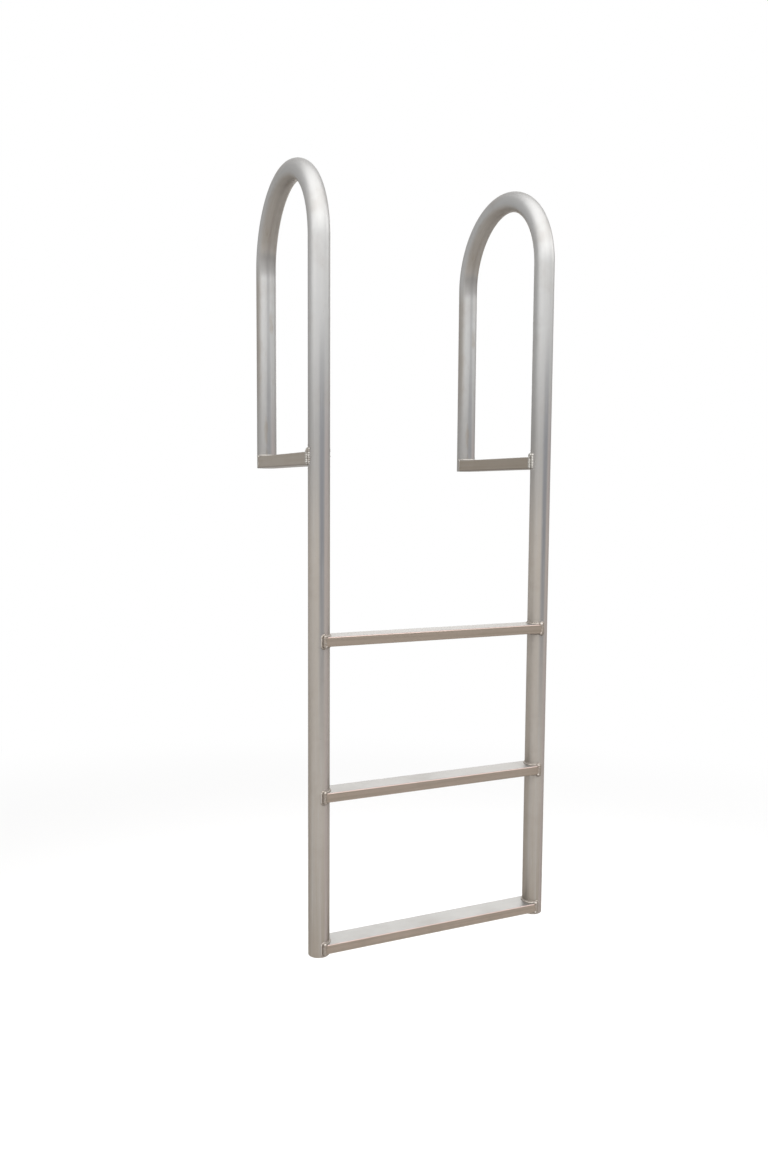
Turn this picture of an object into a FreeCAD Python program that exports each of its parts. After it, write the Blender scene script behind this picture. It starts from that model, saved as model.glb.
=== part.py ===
import FreeCAD, Part
import math
import os
import Sketcher
from FreeCAD import Placement, Rotation, Vector

# Welded aluminium dock ladder, in millimetres. X runs along the treads from the left rail to the
# right one, Y runs from the water towards the dock, Z is up. The origin lies on the dock's deck,
# under the middle of the left bracket, so every height below is measured from the deck.

SIZES = {
    "outer_width": (539.75, "over the two rails"),
    "outer_depth": (361.95, "over a hoop, from front rail to back leg"),
    "hoop_rise": (603.25, "deck to the top of a hoop"),
    "rail_od": (42.2, "rail tube, outside"),
    "rail_wall": (3.6, "rail tube, wall"),
    "rail_below": (6.5, "lower end of a rail, below the underside of the last tread"),
    "foot_round": (1.6, "outer edge of a leg's foot"),
    "first_tread": (326.4, "deck down to the top of the first tread"),
    "tread_pitch": (304.8, "tread top to tread top"),
    "tread_depth": (50.8, "tread, front to back"),
    "tread_thick": (19.05, "tread, top to underside"),
    "tread_wall": (3.2, "tread tube, wall"),
    "tread_round": (2.4, "tread tube, outer corner"),
    "tread_short": (4.0, "tread end, short of the rail's axis"),
    "bracket_width": (44.45, "bracket, side to side"),
    "bracket_height": (25.4, "bracket, deck to top"),
    "bracket_wall": (3.2, "bracket tube, wall"),
    "bracket_round": (2.4, "bracket tube, outer corner"),
    "bracket_short": (7.5, "bracket end, short of the axis of the tube it meets"),
    "bolt_hole": (10.5, "hole for a deck bolt"),
    "bolt_pitch": (203.2, "deck bolt to deck bolt"),
    "weld_toe": (0.5, "thin edge of a fillet weld on its tube"),
    "tread_bead": (6.0, "weld bead down the corners of a tread's end"),
    "tread_run": (6.0, "fillet weld on a tread, out from the rail"),
    "tread_rise": (6.0, "fillet weld on a tread, along the rail"),
    "rail_bead": (5.5, "weld bead up the sides of a bracket, at the rail"),
    "rail_run": (7.0, "fillet weld on a bracket, out from the rail"),
    "rail_rise": (10.0, "fillet weld on a bracket, up the rail"),
    "leg_bead": (3.0, "weld bead up the sides of a bracket, at the leg"),
    "leg_run": (3.5, "fillet weld on a bracket, out from the leg"),
    "leg_rise": (6.0, "fillet weld on a bracket, up the leg"),
}
TREAD_NAMES = ("top", "middle", "bottom")
TREAD_SWEEP = 160
BRACKET_SWEEP = {"rail": 140, "leg": 180}
FIT = 0.001

RAIL_SPACING = "(Sizes.outer_width - Sizes.rail_od)"
LEG_SPACING = "(Sizes.outer_depth - Sizes.rail_od)"
RAIL_RADIUS = "(Sizes.rail_od / 2)"
HOOP_RADIUS = "(%s / 2)" % LEG_SPACING
HOOP_CENTRE = "(Sizes.hoop_rise - %s - %s)" % (RAIL_RADIUS, HOOP_RADIUS)
FRONT_Y = "(-%s)" % HOOP_RADIUS
LAST_TREAD = "(Sizes.first_tread + %d * Sizes.tread_pitch)" % (len(TREAD_NAMES) - 1)
RAIL_DROP = "(%s + Sizes.tread_thick + Sizes.rail_below)" % LAST_TREAD

doc = FreeCAD.newDocument("dock_ladder")
sheet = doc.addObject("Spreadsheet::Sheet", "Sizes")
for row, (alias, (value, note)) in enumerate(SIZES.items(), start=1):
    sheet.set("A%d" % row, note)
    sheet.set("B%d" % row, str(value))
    sheet.setAlias("B%d" % row, alias)
doc.recompute()
sub_parts = []


def size(expression):
    """The present value of an expression of the sheet's cells."""
    return float(doc.Sizes.evalExpression(expression))


def new_body(label, x=None, y=None, z=None):
    """A body with its label and its place, which follows the sheet."""
    body = doc.addObject("PartDesign::Body", label)
    body.Label = label
    for axis, expression in zip("xyz", (x, y, z)):
        if expression:
            body.setExpression("Placement.Base." + axis, expression)
    sub_parts.append(body)
    return body


def new_sketch(body, name, role, offset=None):
    """A sketch on one of the body's own planes, moved off it by an expression where one is given."""
    sketch = body.newObject("Sketcher::SketchObject", name)
    plane = next(f for f in body.Origin.OriginFeatures if f.Role == role)
    sketch.AttachmentSupport = (plane, "")
    sketch.MapMode = "FlatFace"
    if offset:
        sketch.setExpression("AttachmentOffset.Base.z", offset)
    return sketch


def rule(sketch, name, expression, kind, *where):
    """A sized constraint that follows the sheet."""
    index = sketch.addConstraint(Sketcher.Constraint(kind, *where, size(expression)))
    sketch.renameConstraint(index, name)
    sketch.setExpression("Constraints." + name, expression)


def circle(sketch, name, radius, x=None, y=None):
    """A circle on the sketch's origin, or at x, y."""
    centre = Vector(size(x) if x else 0, size(y) if y else 0, 0)
    g = sketch.addGeometry(Part.Circle(centre, Vector(0, 0, 1), size(radius)))
    rule(sketch, name + "_radius", radius, "Radius", g)
    for axis, value in (("X", x), ("Y", y)):
        if value:
            rule(sketch, "%s_%s" % (name, axis.lower()), value, "Distance" + axis, -1, 1, g, 3)
        else:
            on_axis = -2 if axis == "X" else -1
            sketch.addConstraint(Sketcher.Constraint("PointOnObject", g, 3, on_axis))
    return g


def rectangle(sketch, name, left, right, low, high):
    """A rectangle whose four sides lie where the four expressions say."""
    x0, x1, y0, y1 = (size(e) for e in (left, right, low, high))
    corners = [Vector(x0, y0, 0), Vector(x1, y0, 0), Vector(x1, y1, 0), Vector(x0, y1, 0)]
    g = [sketch.addGeometry(Part.LineSegment(corners[k], corners[(k + 1) % 4])) for k in range(4)]
    for k in range(4):
        sketch.addConstraint(Sketcher.Constraint("Coincident", g[k], 2, g[(k + 1) % 4], 1))
        sketch.addConstraint(Sketcher.Constraint("Vertical" if k % 2 else "Horizontal", g[k]))
    rule(sketch, name + "_left", left, "DistanceX", -1, 1, g[0], 1)
    rule(sketch, name + "_right", right, "DistanceX", -1, 1, g[1], 1)
    rule(sketch, name + "_low", low, "DistanceY", -1, 1, g[0], 1)
    rule(sketch, name + "_high", high, "DistanceY", -1, 1, g[2], 1)
    return g


def extrude(body, kind, name, sketch, **settings):
    """A pad or pocket of a sketch; text settings are expressions."""
    feature = body.newObject("PartDesign::" + kind, name)
    feature.Profile = sketch
    for key, value in settings.items():
        if isinstance(value, str) and key != "Type":
            feature.setExpression(key, value)
        else:
            setattr(feature, key, value)
    sketch.Visibility = False
    return feature


def edges_along(feature, direction):
    """Names of a feature's straight edges that run along a direction."""
    names = []
    for k, edge in enumerate(feature.Shape.Edges, start=1):
        run = edge.Vertexes[-1].Point - edge.Vertexes[0].Point
        if run.Length > 0 and abs(run.normalize().dot(direction)) > 1 - FIT:
            names.append("Edge%d" % k)
    return names


def circle_edge(feature, radius, z):
    """Name of the level round edge of a feature that has a radius and lies at a height."""
    for k, edge in enumerate(feature.Shape.Edges, start=1):
        box = edge.BoundBox
        flat = abs(box.ZMin - z) < FIT and abs(box.ZMax - z) < FIT
        if flat and abs(box.XLength / 2 - radius) < FIT:
            return "Edge%d" % k
    raise RuntimeError("no round edge at %.1f" % z)


def round_edges(body, name, feature, radius, direction):
    """Fillet a feature's straight edges that run along a direction."""
    doc.recompute()
    fillet = body.newObject("PartDesign::Fillet", name)
    fillet.Base = (feature, edges_along(feature, direction))
    fillet.setExpression("Radius", radius)


def make_rail(label, x):
    """One length of tube: front rail, hoop over the deck, and the leg that comes down behind."""
    body = new_body(label, x=x)
    path = new_sketch(body, label + "_path", "YZ_Plane")
    half, centre, drop = (size(e) for e in (HOOP_RADIUS, HOOP_CENTRE, RAIL_DROP))
    up = path.addGeometry(Part.LineSegment(Vector(-half, -drop, 0), Vector(-half, centre, 0)))
    hoop = path.addGeometry(Part.ArcOfCircle(
        Part.Circle(Vector(0, centre, 0), Vector(0, 0, 1), half), 0, math.pi))
    down = path.addGeometry(Part.LineSegment(Vector(half, centre, 0), Vector(half, 0, 0)))
    path.addConstraint(Sketcher.Constraint("Vertical", up))
    path.addConstraint(Sketcher.Constraint("Vertical", down))
    path.addConstraint(Sketcher.Constraint("Tangent", up, 2, hoop, 2))
    path.addConstraint(Sketcher.Constraint("Tangent", hoop, 1, down, 1))
    path.addConstraint(Sketcher.Constraint("PointOnObject", hoop, 3, -2))
    path.addConstraint(Sketcher.Constraint("PointOnObject", down, 2, -1))
    rule(path, "hoop_radius", HOOP_RADIUS, "Radius", hoop)
    rule(path, "hoop_centre", HOOP_CENTRE, "DistanceY", -1, 1, hoop, 3)
    rule(path, "rail_end", "-" + RAIL_DROP, "DistanceY", -1, 1, up, 1)
    section = new_sketch(body, label + "_section", "XY_Plane", "-" + RAIL_DROP)
    circle(section, "outside", RAIL_RADIUS, y=FRONT_Y)
    circle(section, "bore", "%s - Sizes.rail_wall" % RAIL_RADIUS, y=FRONT_Y)
    pipe = body.newObject("PartDesign::AdditivePipe", label + "_tube")
    pipe.Profile = section
    pipe.Spine = (path, ["Edge1", "Edge2", "Edge3"])
    for sketch in (path, section):
        sketch.Visibility = False
    doc.recompute()
    foot = body.newObject("PartDesign::Fillet", label + "_foot")
    foot.Base = (pipe, [circle_edge(pipe, size(RAIL_RADIUS), 0)])
    foot.setExpression("Radius", "Sizes.foot_round")


def make_tread(label, number):
    """A flat rectangular tube between the rails, both ends coped to sit round them."""
    body = new_body(label, y=FRONT_Y, z="-Sizes.first_tread - %d * Sizes.tread_pitch" % number)
    front, back = "-Sizes.tread_depth / 2", "Sizes.tread_depth / 2"
    outside = new_sketch(body, label + "_outside", "YZ_Plane", "Sizes.tread_short")
    rectangle(outside, "tread", front, back, "-Sizes.tread_thick", "0")
    tube = extrude(body, "Pad", label + "_bar", outside,
                   Length="%s - 2 * Sizes.tread_short" % RAIL_SPACING)
    round_edges(body, label + "_corners", tube, "Sizes.tread_round", Vector(1, 0, 0))
    hollow = new_sketch(body, label + "_hollow", "YZ_Plane")
    wall = "Sizes.tread_wall"
    rectangle(hollow, "hollow", "%s + %s" % (front, wall), "%s - %s" % (back, wall),
              "%s - Sizes.tread_thick" % wall, "-%s" % wall)
    extrude(body, "Pocket", label + "_bore", hollow, Type="ThroughAll", Midplane=True)
    cope = new_sketch(body, label + "_cope", "XY_Plane")
    circle(cope, "left_rail", RAIL_RADIUS)
    circle(cope, "right_rail", RAIL_RADIUS, x=RAIL_SPACING)
    extrude(body, "Pocket", label + "_ends", cope, Type="ThroughAll", Midplane=True)


def make_bracket(label, x):
    """The tube that lies on the deck between a rail and its leg, coped to both, with bolt holes."""
    body = new_body(label, x=x)
    side = "Sizes.bracket_width / 2"
    start = "%s + Sizes.bracket_short" % FRONT_Y
    outside = new_sketch(body, label + "_outside", "XZ_Plane", "-(%s)" % start)
    rectangle(outside, "bracket", "-" + side, side, "0", "Sizes.bracket_height")
    bar = extrude(body, "Pad", label + "_bar", outside, Reversed=True,
                  Length="%s - 2 * Sizes.bracket_short" % LEG_SPACING)
    round_edges(body, label + "_corners", bar, "Sizes.bracket_round", Vector(0, 1, 0))
    hollow = new_sketch(body, label + "_hollow", "XZ_Plane")
    wall = "Sizes.bracket_wall"
    rectangle(hollow, "hollow", "%s - %s" % (wall, side), "%s - %s" % (side, wall),
              wall, "Sizes.bracket_height - %s" % wall)
    extrude(body, "Pocket", label + "_bore", hollow, Type="ThroughAll", Midplane=True)
    holes = new_sketch(body, label + "_cope", "XY_Plane")
    circle(holes, "rail", RAIL_RADIUS, y=FRONT_Y)
    circle(holes, "leg", RAIL_RADIUS, y=HOOP_RADIUS)
    circle(holes, "front_bolt", "Sizes.bolt_hole / 2", y="-Sizes.bolt_pitch / 2")
    circle(holes, "back_bolt", "Sizes.bolt_hole / 2", y="Sizes.bolt_pitch / 2")
    extrude(body, "Pocket", label + "_holes", holes, Type="ThroughAll", Midplane=True)


def solid_of(kind, name, place, turn=None, **expressions):
    """A Part primitive whose sizes and place follow the sheet."""
    thing = doc.addObject("Part::" + kind, name)
    if turn:
        thing.Placement = Placement(Vector(), turn)
    for axis, expression in zip("xyz", place):
        thing.setExpression("Placement.Base." + axis, expression)
    for key, expression in expressions.items():
        thing.setExpression(key, expression)
    thing.Visibility = False
    return thing


def make_weld(label, beads, cutters):
    """Beads run together, less the pieces that they join."""
    run = doc.addObject("Part::MultiFuse", label + "_run")
    run.Shapes = beads
    taken = doc.addObject("Part::MultiFuse", label + "_taken")
    taken.Shapes = cutters
    weld = doc.addObject("Part::Cut", label)
    weld.Base = run
    weld.Tool = taken
    weld.Label = label
    for thing in (run, taken):
        thing.Visibility = False
    sub_parts.append(weld)


def collar(name, tube, z, run, rise, facing, sweep, under=False):
    """A fillet weld round part of a tube, on a face at height z, or under it, in the middle of a
    sweep of so many degrees that faces along X (0), along Y (90) or back."""
    wide, thin = "%s + %s" % (RAIL_RADIUS, run), "%s + Sizes.weld_toe" % RAIL_RADIUS
    turn = Rotation(Vector(0, 0, 1), facing - sweep / 2)
    return solid_of("Cone", name, (tube[0], tube[1], "%s - %s" % (z, rise) if under else z), turn,
                    Radius1=thin if under else wide, Radius2=wide if under else thin,
                    Height=rise, Angle="%d deg" % sweep)


def corner_bead(name, x, y, low, high, radius, tips):
    """An upright bead with a rounded tip at each of the given heights."""
    beads = [solid_of("Cylinder", name, (x, y, low), Radius=radius,
                      Height="%s - %s" % (high, low))]
    for k, tip in enumerate(tips):
        beads.append(solid_of("Sphere", "%s_tip%d" % (name, k), (x, y, tip), Radius=radius))
    return beads


def tube_solid(name, tube, low, height):
    """The round of a rail or leg, as far as a weld reaches along it."""
    return solid_of("Cylinder", name, (tube[0], tube[1], low), Radius=RAIL_RADIUS, Height=height)


def make_tread_weld(label, number, side):
    """The bead all round a tread's end: over the top, down both corners and under."""
    is_left = side == "left"
    rail = ("0" if is_left else RAIL_SPACING, FRONT_Y)
    corner_x = "Sizes.tread_short" if is_left else "%s - Sizes.tread_short" % RAIL_SPACING
    top = "(-Sizes.first_tread - %d * Sizes.tread_pitch)" % number
    low = "(%s - Sizes.tread_thick)" % top
    facing = 0 if is_left else 180
    run, rise = "Sizes.tread_run", "Sizes.tread_rise"
    beads = [collar(label + "_top", rail, top, run, rise, facing, TREAD_SWEEP),
             collar(label + "_under", rail, low, run, rise, facing, TREAD_SWEEP, under=True)]
    for name, sign in (("front", "-"), ("back", "+")):
        y = "%s %s (%s + Sizes.tread_depth / 2) / 2" % (FRONT_Y, sign, RAIL_RADIUS)
        beads += corner_bead("%s_%s" % (label, name), corner_x, y, low, top,
                             "Sizes.tread_bead", (low, top))
    start = "Sizes.tread_short" if is_left else "%s - Sizes.tread_short - Sizes.rail_od" % RAIL_SPACING
    bar = solid_of("Box", label + "_tread", (start, "%s - Sizes.tread_depth / 2" % FRONT_Y, low),
                   Length="Sizes.rail_od", Width="Sizes.tread_depth", Height="Sizes.tread_thick")
    tube = tube_solid(label + "_rail", rail, "%s - Sizes.rail_od" % low,
                      "Sizes.tread_thick + 2 * Sizes.rail_od")
    make_weld(label, beads, [tube, bar])


def make_bracket_weld(label, x, end):
    """The bead that joins a bracket to its rail or leg: up both sides and over the top."""
    sign = "+" if end == "rail" else "-"
    tube = (x, FRONT_Y if end == "rail" else HOOP_RADIUS)
    bead, run, rise = ("Sizes.%s_%s" % (end, word) for word in ("bead", "run", "rise"))
    beads = [collar(label + "_top", tube, "Sizes.bracket_height", run, rise,
                    90 if end == "rail" else -90, BRACKET_SWEEP[end])]
    y = "%s %s Sizes.bracket_short" % (tube[1], sign)
    out = "(Sizes.bracket_width / 2 + sqrt(%s ^ 2 - Sizes.bracket_short ^ 2)) / 2" % RAIL_RADIUS
    for name, way in (("left", "-"), ("right", "+")):
        beads += corner_bead("%s_%s" % (label, name), "%s %s %s" % (x, way, out), y, "0",
                             "Sizes.bracket_height", bead, ("Sizes.bracket_height",))
    start = y if end == "rail" else "%s - Sizes.rail_od" % y
    bar = solid_of("Box", label + "_bracket", ("%s - Sizes.bracket_width / 2" % x, start, "0"),
                   Length="Sizes.bracket_width", Width="Sizes.rail_od",
                   Height="Sizes.bracket_height")
    round_bar = tube_solid(label + "_tube", tube, "0", "Sizes.bracket_height + Sizes.rail_od")
    make_weld(label, beads, [round_bar, bar])


def export(folder):
    """Check every object, then write each sub-part under its own name."""
    doc.recompute()
    faults = [o.Name for o in doc.Objects if {"Invalid", "Error"} & set(o.State)]
    if faults:
        raise RuntimeError("failed objects: " + ", ".join(faults))
    for part in sub_parts:
        if part.Shape.isNull() or not part.Shape.isValid() or not part.Shape.Solids:
            raise RuntimeError("bad shape: " + part.Label)
    os.makedirs(folder, exist_ok=True)
    for part in sub_parts:
        part.Shape.exportStep(os.path.join(folder, part.Label + ".step"))
        box = part.Shape.BoundBox
        print("%-22s solids %d  volume %9.0f  z %8.1f to %8.1f"
              % (part.Label, len(part.Shape.Solids), part.Shape.Volume, box.ZMin, box.ZMax))


for side, x in (("left", "0"), ("right", RAIL_SPACING)):
    make_rail(side + "_rail", x)
    make_bracket(side + "_bracket", x)
    for end in ("rail", "leg"):
        make_bracket_weld("%s_bracket_%s_weld" % (side, end), x, end)
for number, name in enumerate(TREAD_NAMES):
    make_tread(name + "_tread", number)
    for side in ("left", "right"):
        make_tread_weld("%s_tread_%s_weld" % (name, side), number, side)
export("parts")
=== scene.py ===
# %% [markdown]
# # A welded aluminium dock ladder
# The ladder is two bent tubes, three flat treads and two brackets, all welded. Its construction
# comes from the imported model, at its real size. This lesson gives it its looks: tubes smooth
# enough to carry a highlight round a bend, weld beads with their ripples, and the dull shine of
# bare aluminium.

import math

import bpy
from mathutils import Matrix, Vector


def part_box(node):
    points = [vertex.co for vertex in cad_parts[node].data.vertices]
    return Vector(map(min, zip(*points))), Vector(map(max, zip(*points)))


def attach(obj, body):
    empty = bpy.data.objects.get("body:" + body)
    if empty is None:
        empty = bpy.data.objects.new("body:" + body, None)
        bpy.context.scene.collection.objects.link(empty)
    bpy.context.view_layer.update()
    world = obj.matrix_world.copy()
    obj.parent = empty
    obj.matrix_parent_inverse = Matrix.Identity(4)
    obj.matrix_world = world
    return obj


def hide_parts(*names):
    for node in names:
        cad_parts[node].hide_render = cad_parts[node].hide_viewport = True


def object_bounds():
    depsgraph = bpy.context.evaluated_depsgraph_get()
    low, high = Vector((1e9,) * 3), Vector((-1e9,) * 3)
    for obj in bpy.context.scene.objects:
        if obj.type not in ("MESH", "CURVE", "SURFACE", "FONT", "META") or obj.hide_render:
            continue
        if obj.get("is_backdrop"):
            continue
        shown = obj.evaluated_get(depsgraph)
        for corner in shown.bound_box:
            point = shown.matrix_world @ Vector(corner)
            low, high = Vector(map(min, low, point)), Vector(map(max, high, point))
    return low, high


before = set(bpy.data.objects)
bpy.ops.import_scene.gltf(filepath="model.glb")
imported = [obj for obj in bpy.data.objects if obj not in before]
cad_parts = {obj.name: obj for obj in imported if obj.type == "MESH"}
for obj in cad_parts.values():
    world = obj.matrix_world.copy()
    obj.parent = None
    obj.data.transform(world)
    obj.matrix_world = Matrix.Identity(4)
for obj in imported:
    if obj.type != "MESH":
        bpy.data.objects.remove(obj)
cad_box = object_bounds()
print("nodes:", ", ".join(sorted(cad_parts)))

# %% [markdown]
# ## Sizes
# The sizes that the looks need are read off the model, so that a piece always lies where the real
# one does. A rail's own box gives its tube and its bend. Only the tube's wall can't be read off a
# box, so it is written here as the model has it.

# %% Measure the rails
SIDES = ("left", "right")
TREADS = ("top", "middle", "bottom")
TUBE_WALL = 0.0036
rail_low, rail_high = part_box("left_rail")
TUBE_RADIUS = (rail_high.x - rail_low.x) / 2
BEND_RADIUS = (rail_high.y - rail_low.y) / 2 - TUBE_RADIUS
BEND_START = rail_high.z - TUBE_RADIUS - BEND_RADIUS
FRONT_Y = rail_low.y + TUBE_RADIUS
RAIL_END = rail_low.z
rail_x = {side: sum(corner.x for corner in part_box(side + "_rail")) / 2 for side in SIDES}
print("tube %.1f mm, bend radius %.1f mm, rails %.1f mm apart"
      % (2e3 * TUBE_RADIUS, 1e3 * BEND_RADIUS, 1e3 * (rail_x["right"] - rail_x["left"])))

# %% [markdown]
# ## The camera
# The photograph was taken from the left, a little below the level of the deck. A camera could be
# aimed with a constraint, but its place and its turns are known as numbers, so they are set
# outright: how far it turns from straight ahead, how far it looks down, and how it leans. A new
# camera looks straight down, so its tilt is measured from there.

# %% Set up the camera
CAMERA_PLACE = Vector((-0.6669, -1.9123, -0.0504))
CAMERA_TURN = 0.4301
CAMERA_DOWN = 0.0893
CAMERA_ROLL = 0.0062
SENSOR = 36.0
FOCAL_LENGTH = 30.446


def add_camera():
    """A camera that sees the ladder as the photograph does, with SENSOR along its long side."""
    lens = bpy.data.cameras.new("photo_camera")
    lens.sensor_fit = "AUTO"
    lens.sensor_width = SENSOR
    lens.lens = FOCAL_LENGTH
    camera = bpy.data.objects.new("photo_camera", lens)
    turn = Matrix.Rotation(-CAMERA_TURN, 4, "Z")
    tilt = Matrix.Rotation(math.pi / 2 - CAMERA_DOWN, 4, "X")
    roll = Matrix.Rotation(CAMERA_ROLL, 4, "Z")
    camera.matrix_world = Matrix.Translation(CAMERA_PLACE) @ turn @ tilt @ roll
    bpy.context.collection.objects.link(camera)
    bpy.context.scene.camera = camera
    return camera


print("camera at", tuple(round(v, 3) for v in add_camera().location))

# %% [markdown]
# ## Node trees written as sums
# Shader trees and geometry trees are both made of small nodes. A pattern is easier to read as a
# formula, so a wire (one output of one node) gets Python's own signs: adding two wires adds a
# Math node.

# %% A wire with arithmetic
class Wire:
    """One output of a node. Sums on it add Math nodes to its tree."""

    def __init__(self, tree, socket=None):
        self.tree = tree
        self.socket = socket

    def node(self, kind, settings=None, inputs=None, output=0):
        """Any node: its settings go in first, then values or wires for its sockets."""
        made = self.tree.nodes.new(kind)
        for name, value in (settings or {}).items():
            setattr(made, name, value)
        for name, value in (inputs or {}).items():
            if isinstance(value, Wire):
                self.tree.links.new(value.socket, made.inputs[name])
            else:
                made.inputs[name].default_value = value
        return Wire(self.tree, made.outputs[output])

    def maths(self, operation, *values):
        """A Math node on this wire and the other values."""
        sockets = dict(enumerate((self,) + values))
        return self.node("ShaderNodeMath", {"operation": operation}, sockets)

    def vector(self, operation, *values, output=0):
        """A Vector Math node on this wire and the other values."""
        sockets = dict(enumerate((self,) + values))
        return self.node("ShaderNodeVectorMath", {"operation": operation}, sockets, output)

    def __add__(self, other):
        return self.maths("ADD", other)

    def __radd__(self, other):
        return self.maths("ADD", other)

    def __sub__(self, other):
        return self.maths("SUBTRACT", other)

    def __rsub__(self, other):
        return self.node("ShaderNodeMath", {"operation": "SUBTRACT"}, {0: other, 1: self})

    def __mul__(self, other):
        return self.maths("MULTIPLY", other)

    def __rmul__(self, other):
        return self.maths("MULTIPLY", other)

    def __truediv__(self, other):
        return self.maths("DIVIDE", other)

    def __rtruediv__(self, other):
        return self.node("ShaderNodeMath", {"operation": "DIVIDE"}, {0: other, 1: self})

    def band(self, low, high):
        """0 below low, 1 above high and a smooth step between; low may be the larger."""
        return self.node("ShaderNodeMapRange", {"interpolation_type": "SMOOTHSTEP"},
                         {"Value": self, "From Min": low, "From Max": high})

    def clamp(self, low, high):
        """Nothing below low and nothing above high."""
        return self.maths("MAXIMUM", low).maths("MINIMUM", high)


def axis(place, name):
    """One of a place's three numbers."""
    return place.node("ShaderNodeSeparateXYZ", None, {0: place}, output="XYZ".index(name))


print("wires can be added, multiplied, clamped and stepped")

# %% [markdown]
# A tube or a bead follows a rule, so a geometry tree can grow it: its sizes go in by name, and the
# same tree makes the left and the right one. A mesh typed in point by point would do the same only
# once. A size is set by its socket's identifier, before the tree first runs. The tree runs once,
# and what it made is kept as a plain mesh.

# %% Helpers for geometry trees
def new_geometry_tree(name, sizes, has_input=False):
    """A geometry tree with a named input of the given kind for each size, and its wires."""
    tree = bpy.data.node_groups.new(name, "GeometryNodeTree")
    tree.interface.new_socket("Geometry", in_out="OUTPUT", socket_type="NodeSocketGeometry")
    if has_input:
        tree.interface.new_socket("Geometry", in_out="INPUT", socket_type="NodeSocketGeometry")
    for size, kind in sizes.items():
        tree.interface.new_socket(size, in_out="INPUT", socket_type="NodeSocket" + kind)
    tree.interface.new_socket("Finish", in_out="INPUT", socket_type="NodeSocketMaterial")
    group_in = tree.nodes.new("NodeGroupInput")
    return tree, {socket.name: Wire(tree, socket) for socket in group_in.outputs if socket.name}


def end_tree(tree, result, finish):
    """Real geometry with its material, joined to the tree's output."""
    real = result.node("GeometryNodeRealizeInstances", None, {"Geometry": result})
    coated = real.node("GeometryNodeSetMaterial", None, {"Geometry": real, "Material": finish})
    group_out = tree.nodes.new("NodeGroupOutput")
    tree.links.new(coated.socket, group_out.inputs[0])


def grow(name, tree, sizes, finish, base=None):
    """Runs a geometry tree once and keeps its result as a plain mesh object."""
    source = base or bpy.data.objects.new(name + "_source",
                                          bpy.data.meshes.new(name + "_source"))
    bpy.context.collection.objects.link(source)
    modifier = source.modifiers.new("grow", "NODES")
    modifier.node_group = tree
    identifiers = {item.name: item.identifier for item in tree.interface.items_tree
                   if item.in_out == "INPUT"}
    for size, value in sizes.items():
        modifier[identifiers[size]] = value
    modifier[identifiers["Finish"]] = finish
    bpy.context.view_layer.update()
    graph = bpy.context.evaluated_depsgraph_get()
    mesh = bpy.data.meshes.new_from_object(source.evaluated_get(graph), depsgraph=graph)
    source.modifiers.remove(modifier)
    bpy.data.objects.remove(source)
    piece = bpy.data.objects.new(name, mesh)
    bpy.context.collection.objects.link(piece)
    print("%-26s %6d faces" % (name, len(mesh.polygons)))
    return piece


def place_as(piece, slot, *nodes):
    """The piece stands for these nodes and rides on the ladder; slot is not used."""
    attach(piece, "root")
    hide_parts(*nodes)


print("a tree grows one plain mesh at a time")

# %% [markdown]
# ## Bare aluminium
# Mill-finish aluminium has been pulled through a die, so it carries very fine lines and broader
# bands along its length, and handling leaves dull patches. Low on the tube the colour is painted
# darker, a painted shade, and below the deck warmer, a painted reflection of a brown ground. One
# noise could give a general mottle, but lines must run with the metal. So each mark is a noise or
# a step of its own, and together they pick the colour and the roughness.

# %% The metal's colours
ALUMINIUM = (0.350, 0.348, 0.344)
# Painted shade: the colour that the tube is painted low down, darker than above.
SHADED_ALUMINIUM = (0.285, 0.278, 0.270)
# Painted reflection: below the deck the tube is painted warmer, as if it mirrored a brown ground.
WARM_REFLECTION = (0.362, 0.330, 0.296)
# Real tarnish, which also serves as painted shade on the left sides and inside the bends.
DARK_TARNISH_AND_SHADE = (0.225, 0.188, 0.148)
BRIGHT_PATCH = (0.42, 0.415, 0.405)
METALLIC = 0.9
EDGE_TINT = (0.60, 0.58, 0.56, 1.0)
WHITE = (1.0, 1.0, 1.0, 1.0)
print("aluminium's own colour:", ALUMINIUM)

# %% [markdown]
# A material starts with one main shader. Its colour could come from one ramp, but these marks
# overlap. So it is built up as a painter would: a ground, and then coat over coat, each with a
# mask that says where it covers. One Mix node lays one coat, and a number that its mask is
# multiplied by says how thickly.

# %% Helpers for materials
LINE_DEPTH = 0.00003


def new_material(name):
    """A material with nothing but its output and its main shader."""
    material = bpy.data.materials.new(name)
    material.use_nodes = True
    tree = material.node_tree
    shader = next(n for n in tree.nodes if n.type == "BSDF_PRINCIPLED")
    return material, tree, shader


def object_place(start):
    """A point's place on its piece, in metres."""
    return start.node("ShaderNodeTexCoord", output=3)


def paint(ground, *coats):
    """A ground colour with coats over it. A Mix node's two colours are its sockets 6 and 7."""
    colour = (*ground, 1.0)
    for mask, coat in coats:
        colour = mask.node("ShaderNodeMix", {"data_type": "RGBA", "clamp_factor": True},
                           {0: mask, 6: colour, 7: (*coat, 1.0)}, output=2)
    return colour


def finish_with(tree, shader, colour, roughness, height, edge_tint=EDGE_TINT, depth=LINE_DEPTH):
    """Joins the pattern's colour, roughness and height to the shader."""
    bump = colour.node("ShaderNodeBump", None,
                       {"Strength": 1.0, "Distance": depth, "Height": height})
    tree.links.new(colour.socket, shader.inputs["Base Color"])
    tree.links.new(roughness.socket, shader.inputs["Roughness"])
    tree.links.new(bump.socket, shader.inputs["Normal"])
    shader.inputs["Metallic"].default_value = METALLIC
    shader.inputs["Specular Tint"].default_value = edge_tint


print("lines stand %.2f mm high" % (1e3 * LINE_DEPTH))

# %% [markdown]
# Fine lines, broad bands, dull patches and specks are on every drawn piece, and only their
# direction differs. A noise turns into lines when the place that it reads is squeezed across the
# metal and hardly along it. A stripe is the distance from its middle, stepped.

# %% Marks of drawing and wear
PATCH_SCALE = 11.0
SPECK_SCALE = 420.0


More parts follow.
